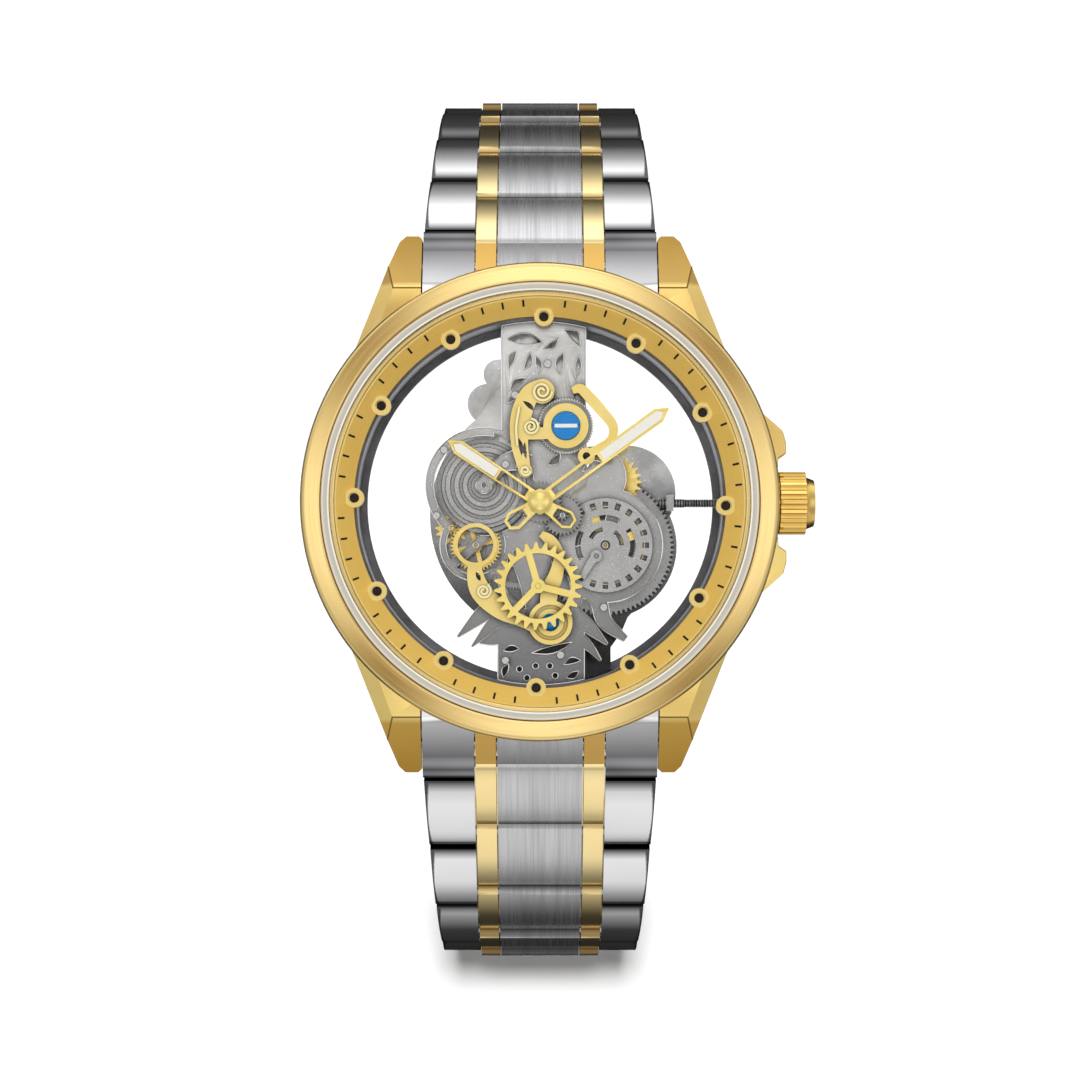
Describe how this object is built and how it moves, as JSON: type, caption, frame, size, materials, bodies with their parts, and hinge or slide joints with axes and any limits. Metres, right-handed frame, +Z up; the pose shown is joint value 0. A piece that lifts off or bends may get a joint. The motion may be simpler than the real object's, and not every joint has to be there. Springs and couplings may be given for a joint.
{
  "type": "wristwatch",
  "caption": "Skeleton wristwatch with an openwork hand-wound movement, gold-toned round case, fluted crown and a tapering link bracelet closed by a folding clasp.",
  "frame": {"origin": "on the hand axis, at the flat underside of the clasp that the closed watch stands on", "axes": "+Z up through the dial, +Y towards twelve o'clock, +X towards the crown"},
  "size_m": [0.0475, 0.0893, 0.0563],
  "materials": {
    "gold_case": "gold-toned, polished lugs and a brushed bezel",
    "gold_work": "gilt movement pieces",
    "bracelet_steel": "polished outer pieces, brushed centre, gold-toned strips",
    "movement_steel": "engraved and brushed",
    "dark_steel": "dark grey",
    "blued_steel": "blued",
    "jewel": "polished synthetic stone",
    "clear": "clear",
    "pale_seal": "pale seal",
    "black_seal": "black seal"
  },
  "bodies": {
    "case": {"case_body": "gold_case", "bezel": "gold_case", "crystal": "clear", "crystal_gasket": "pale_seal", "chapter_ring": "gold_work", "movement_ring": "dark_steel", "case_back": "bracelet_steel", "back_crystal": "clear", "spring_bars": "bracelet_steel", "end_links": "bracelet_steel", "main_plate": "dark_steel", "front_bridge": "movement_steel", "scroll_cock": "gold_work", "swan_neck_spring": "gold_work", "ring_cock": "gold_work", "jewels": "jewel", "bridge_screws": "movement_steel", "cock_screw": "blued_steel", "barrel_bridge": "movement_steel", "bridge_clamp": "movement_steel", "hairspring": "movement_steel"},
    "crown_seal": {"crown_gasket": "black_seal"},
    "crown": {"crown": "gold_case", "stem": "dark_steel"},
    "crown_wheel": {"crown_wheel": "gold_work"},
    "ratchet_wheel": {"ratchet_wheel": "gold_work"},
    "minute": {"minute_hand": "gold_work", "cannon_pinion": "movement_steel"},
    "minute_wheel": {"minute_wheel": "gold_work"},
    "hour": {"hour_hand": "gold_work", "hour_wheel": "movement_steel"},
    "seconds_wheel": {"seconds_wheel": "gold_work"},
    "third_wheel": {"third_wheel": "movement_steel"},
    "fourth_wheel": {"fourth_wheel": "gold_work"},
    "centre_wheel": {"centre_wheel": "gold_work"},
    "barrel": {"barrel": "gold_work", "mainspring": "movement_steel"},
    "escape_wheel": {"escape_wheel": "gold_work"},
    "pallet_fork": {"pallet_fork": "movement_steel"},
    "balance_wheel": {"balance_wheel": "gold_work"},
    "link_12_1": {"link_12_1": "bracelet_steel"},
    "link_12_2": {"link_12_2": "bracelet_steel"},
    "link_12_3": {"link_12_3": "bracelet_steel"},
    "link_12_4": {"link_12_4": "bracelet_steel"},
    "link_12_5": {"link_12_5": "bracelet_steel"},
    "link_12_6": {"link_12_6": "bracelet_steel"},
    "link_12_7": {"link_12_7": "bracelet_steel"},
    "link_6_1": {"link_6_1": "bracelet_steel"},
    "link_6_2": {"link_6_2": "bracelet_steel"},
    "link_6_3": {"link_6_3": "bracelet_steel"},
    "link_6_4": {"link_6_4": "bracelet_steel"},
    "link_6_5": {"link_6_5": "bracelet_steel"},
    "link_6_6": {"link_6_6": "bracelet_steel"},
    "link_6_7": {"link_6_7": "bracelet_steel"},
    "clasp_cover": {"clasp_cover": "bracelet_steel"},
    "fold_blade": {"fold_blade": "bracelet_steel"},
    "end_blade": {"end_blade": "bracelet_steel"},
    "button_left": {"button_left": "bracelet_steel"},
    "button_right": {"button_right": "bracelet_steel"}
  },
  "joints": [
    {"name": "crown_pull", "type": "slide", "parent": "case", "child": "crown_seal", "axis": [1, 0, 0], "range_m": [0, 0.001]},
    {"name": "crown_turn", "type": "hinge", "parent": "crown_seal", "child": "crown", "pos_m": [0.0222, 0, 0.05063], "axis": [1, 0, 0], "continuous": true},
    {"name": "crown_wheel_turn", "type": "hinge", "parent": "case", "child": "crown_wheel", "pos_m": [0.00707, 0.00203, 0.05053], "axis": [0, 0, -1], "continuous": true},
    {"name": "ratchet_turn", "type": "hinge", "parent": "case", "child": "ratchet_wheel", "pos_m": [0.00605, -0.00395, 0.05053], "axis": [0, 0, -1], "continuous": true},
    {"name": "minute_turn", "type": "hinge", "parent": "case", "child": "minute", "pos_m": [0, 0, 0.05353], "axis": [0, 0, -1], "continuous": true},
    {"name": "minute_wheel_turn", "type": "hinge", "parent": "case", "child": "minute_wheel", "pos_m": [0.00208, -0.0012, 0.05253], "axis": [0, 0, -1], "continuous": true},
    {"name": "hour_turn", "type": "hinge", "parent": "case", "child": "hour", "pos_m": [0, 0, 0.05323], "axis": [0, 0, -1], "continuous": true},
    {"name": "seconds_turn", "type": "hinge", "parent": "case", "child": "seconds_wheel", "pos_m": [-0.00018, -0.00774, 0.05053], "axis": [0, 0, -1], "continuous": true},
    {"name": "third_turn", "type": "hinge", "parent": "case", "child": "third_wheel", "pos_m": [-0.00224, -0.00458, 0.05053], "axis": [0, 0, -1], "continuous": true},
    {"name": "fourth_turn", "type": "hinge", "parent": "case", "child": "fourth_wheel", "pos_m": [-0.00596, -0.00393, 0.05053], "axis": [0, 0, -1], "continuous": true},
    {"name": "escape_turn", "type": "hinge", "parent": "case", "child": "escape_wheel", "pos_m": [-0.0082, -0.00235, 0.05053], "axis": [0, 0, -1], "continuous": true},
    {"name": "centre_turn", "type": "hinge", "parent": "case", "child": "centre_wheel", "pos_m": [0, 0, 0.05053], "axis": [0, 0, -1], "continuous": true},
    {"name": "barrel_turn", "type": "hinge", "parent": "case", "child": "barrel", "pos_m": [0.00605, -0.00395, 0.04983], "axis": [0, 0, -1], "continuous": true},
    {"name": "pallet_swing", "type": "hinge", "parent": "case", "child": "pallet_fork", "pos_m": [-0.00685, -0.00085, 0.05023], "axis": [0, 0, -1], "range_deg": [-6, 6]},
    {"name": "balance_swing", "type": "hinge", "parent": "case", "child": "balance_wheel", "pos_m": [-0.0052, 0.0016, 0.05103], "axis": [0, 0, -1], "range_deg": [-150, 150], "stiffness_Nm_per_rad": 0.000001},
    {"name": "link_12_1_pivot", "type": "hinge", "parent": "case", "child": "link_12_1", "pos_m": [0, 0.024, 0.04983], "axis": [1, 0, 0], "range_deg": [0, 40]},
    {"name": "link_12_2_pivot", "type": "hinge", "parent": "link_12_1", "child": "link_12_2", "pos_m": [0, 0.0301, 0.04268], "axis": [1, 0, 0], "range_deg": [0, 5.5]},
    {"name": "link_12_3_pivot", "type": "hinge", "parent": "link_12_2", "child": "link_12_3", "pos_m": [0, 0.0355, 0.03498], "axis": [1, 0, 0], "range_deg": [0, 9]},
    {"name": "link_12_4_pivot", "type": "hinge", "parent": "link_12_3", "child": "link_12_4", "pos_m": [0, 0.03962, 0.02653], "axis": [1, 0, 0], "range_deg": [0, 13]},
    {"name": "link_12_5_pivot", "type": "hinge", "parent": "link_12_4", "child": "link_12_5", "pos_m": [0, 0.04173, 0.01737], "axis": [1, 0, 0], "range_deg": [0, 33]},
    {"name": "link_12_6_pivot", "type": "hinge", "parent": "link_12_5", "child": "link_12_6", "pos_m": [0, 0.03852, 0.00854], "axis": [1, 0, 0], "range_deg": [0, 38]},
    {"name": "link_12_7_pivot", "type": "hinge", "parent": "link_12_6", "child": "link_12_7", "pos_m": [0, 0.03054, 0.00356], "axis": [1, 0, 0], "range_deg": [0, 28]},
    {"name": "link_6_1_pivot", "type": "hinge", "parent": "case", "child": "link_6_1", "pos_m": [0, -0.024, 0.04983], "axis": [-1, 0, 0], "range_deg": [0, 40]},
    {"name": "link_6_2_pivot", "type": "hinge", "parent": "link_6_1", "child": "link_6_2", "pos_m": [0, -0.03087, 0.04341], "axis": [-1, 0, 0], "range_deg": [0, 5]},
    {"name": "link_6_3_pivot", "type": "hinge", "parent": "link_6_2", "child": "link_6_3", "pos_m": [0, -0.03716, 0.03643], "axis": [-1, 0, 0], "range_deg": [0, 13.5]},
    {"name": "link_6_4_pivot", "type": "hinge", "parent": "link_6_3", "child": "link_6_4", "pos_m": [0, -0.04165, 0.02817], "axis": [-1, 0, 0], "range_deg": [0, 17.5]},
    {"name": "link_6_5_pivot", "type": "hinge", "parent": "link_6_4", "child": "link_6_5", "pos_m": [0, -0.04344, 0.01894], "axis": [-1, 0, 0], "range_deg": [0, 33]},
    {"name": "link_6_6_pivot", "type": "hinge", "parent": "link_6_5", "child": "link_6_6", "pos_m": [0, -0.03992, 0.01023], "axis": [-1, 0, 0], "range_deg": [0, 36]},
    {"name": "link_6_7_pivot", "type": "hinge", "parent": "link_6_6", "child": "link_6_7", "pos_m": [0, -0.03195, 0.00524], "axis": [-1, 0, 0], "range_deg": [0, 17.56]},
    {"name": "clasp_open", "type": "hinge", "parent": "link_6_7", "child": "clasp_cover", "pos_m": [0, -0.02285, 0.0029], "axis": [-1, 0, 0], "range_deg": [0, 95]},
    {"name": "fold_open", "type": "hinge", "parent": "clasp_cover", "child": "fold_blade", "pos_m": [0, 0.01657, 0.00175], "axis": [-1, 0, 0], "range_deg": [0, 12]},
    {"name": "end_open", "type": "hinge", "parent": "fold_blade", "child": "end_blade", "pos_m": [0, -0.01665, 0.0025], "axis": [1, 0, 0], "range_deg": [0, 119]},
    {"name": "button_left_press", "type": "slide", "parent": "clasp_cover", "child": "button_left", "axis": [1, 0, 0], "range_m": [0, 0.0006], "stiffness_N_per_m": 400},
    {"name": "button_right_press", "type": "slide", "parent": "clasp_cover", "child": "button_right", "axis": [-1, 0, 0], "range_m": [0, 0.0006], "stiffness_N_per_m": 400}
  ],
  "couplings": [
    {"joint": "crown_wheel_turn", "follows": "crown_turn", "ratio": 0.54545},
    {"joint": "ratchet_turn", "follows": "crown_turn", "ratio": -0.31579},
    {"joint": "minute_wheel_turn", "follows": "minute_turn", "ratio": -0.33333},
    {"joint": "hour_turn", "follows": "minute_turn", "ratio": 0.083333},
    {"joint": "third_turn", "follows": "seconds_turn", "ratio": -0.13333},
    {"joint": "fourth_turn", "follows": "seconds_turn", "ratio": 1},
    {"joint": "centre_turn", "follows": "seconds_turn", "ratio": 0.016667},
    {"joint": "barrel_turn", "follows": "seconds_turn", "ratio": -0.002381},
    {"joint": "escape_turn", "follows": "seconds_turn", "ratio": -5},
    {"joint": "fold_open", "follows": "clasp_open", "ratio": 0.12},
    {"joint": "end_open", "follows": "clasp_open", "ratio": 1.25}
  ]
}
